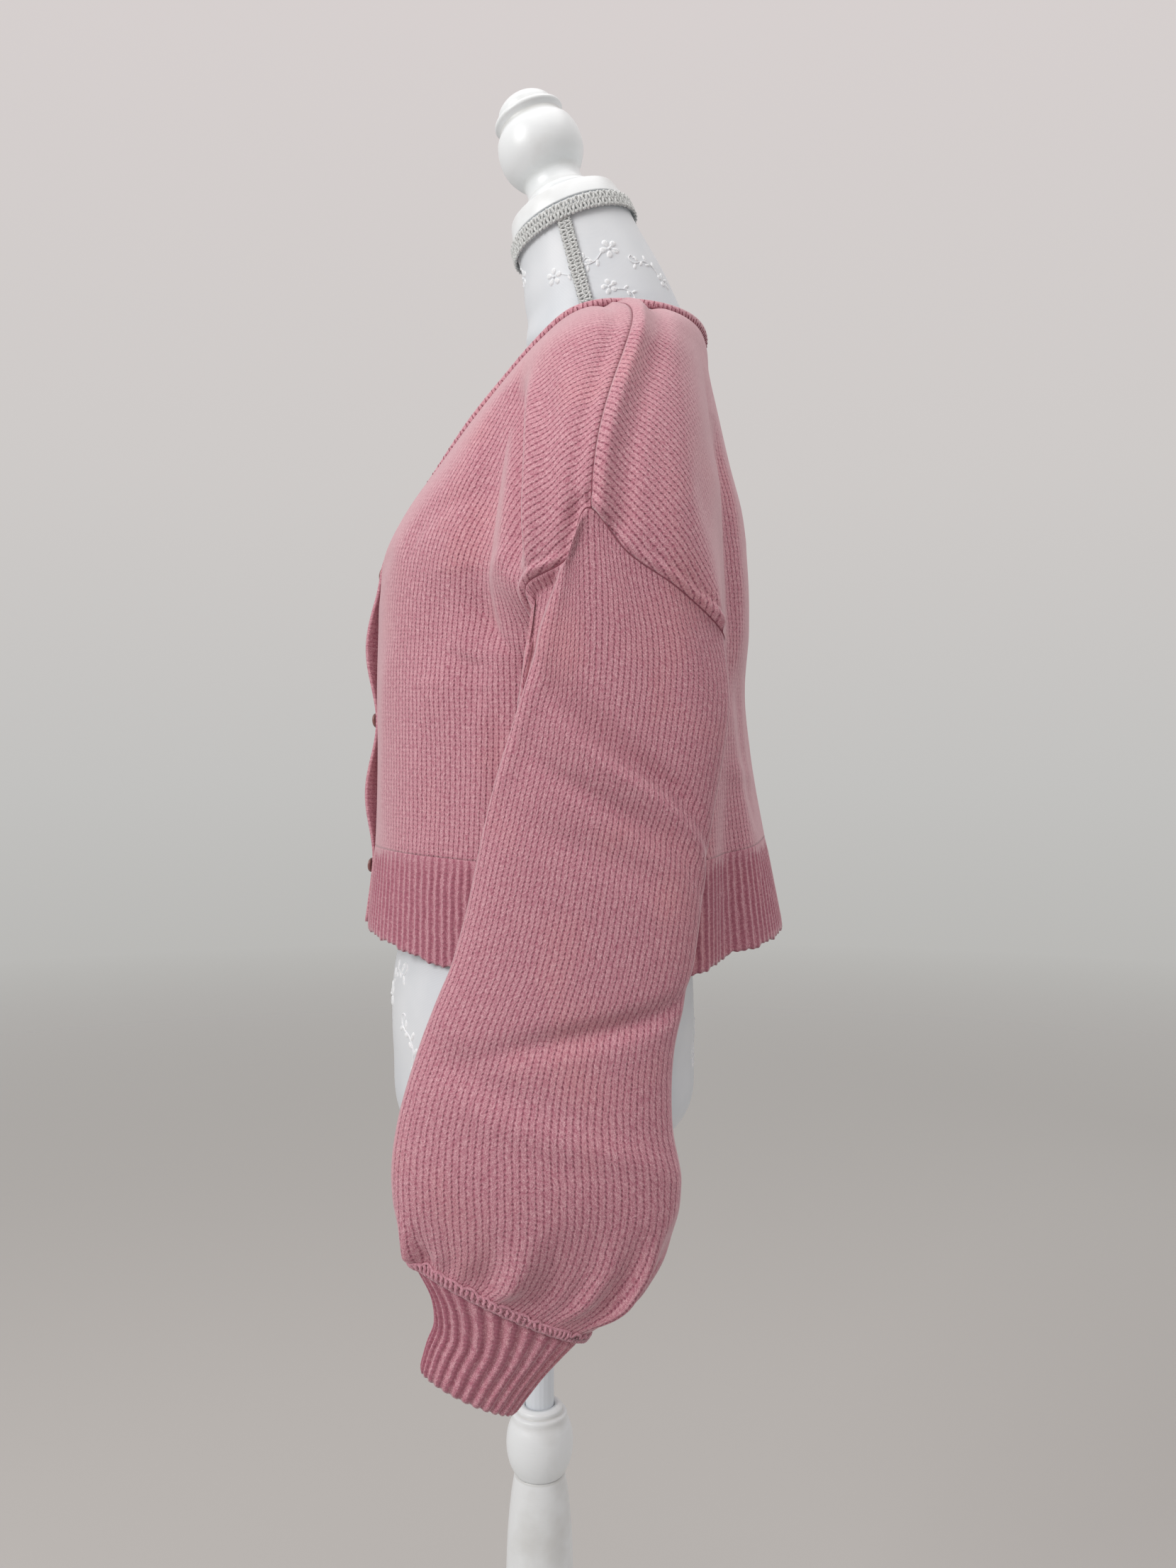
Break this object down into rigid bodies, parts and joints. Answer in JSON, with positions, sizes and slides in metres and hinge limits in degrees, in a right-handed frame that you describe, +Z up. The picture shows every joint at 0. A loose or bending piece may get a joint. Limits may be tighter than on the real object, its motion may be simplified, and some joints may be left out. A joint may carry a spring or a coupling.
{
  "type": "knitted cardigan on a dress form",
  "caption": "Cropped drop-shoulder knitted cardigan with balloon sleeves, ribbed hem and cuffs and a V neck, buttoned on a limbless dress form with a turned stand.",
  "frame": {"origin": "on the floor, on the axis of the stand's tube", "axes": "+Z up; -Y is the wearer's front, where the cardigan buttons; +X is the wearer's left"},
  "size_m": [0.4606, 0.3509, 1.5824],
  "materials": {
    "wool_stockinette": "marled dusty-pink wool in stockinette, softly hairy and matt",
    "wool_rib": "the same wool in knit-one purl-one rib",
    "wool_band": "the same wool in a narrow knitted band, picked up along the edge",
    "button_horn": "smoky brown, polished, slightly dished",
    "form_satin": "blue-white satin cover with small embroidered flowers",
    "gimp_braid": "ivory looped braid",
    "white_paint": "turned wood under worn white satin paint",
    "tube_paint": "pale blue-white satin paint on steel tube"
  },
  "bodies": {
    "stand": {"base": "white_paint", "column": "white_paint", "ball_collar": "white_paint"},
    "mast": {"mast": "tube_paint"},
    "form": {"back": "wool_stockinette", "front_left": "wool_stockinette", "front_right": "wool_stockinette", "sleeve_left": "wool_stockinette", "sleeve_right": "wool_stockinette", "back_hem": "wool_rib", "front_left_hem": "wool_rib", "front_right_hem": "wool_rib", "cuff_left": "wool_rib", "cuff_right": "wool_rib", "front_band_left": "wool_band", "front_band_right": "wool_band", "button_1": "button_horn", "button_2": "button_horn", "button_3": "button_horn", "form_torso": "form_satin", "neck_braid": "gimp_braid", "neck_cap": "white_paint", "finial": "white_paint"}
  },
  "joints": [
    {"name": "height_slide", "type": "slide", "parent": "stand", "child": "mast", "axis": [0, 0, 1], "range_m": [-0.08, 0.12]},
    {"name": "form_turn", "type": "hinge", "parent": "mast", "child": "form", "pos_m": [0, 0, 0.74], "axis": [0, 0, 1], "continuous": true}
  ]
}
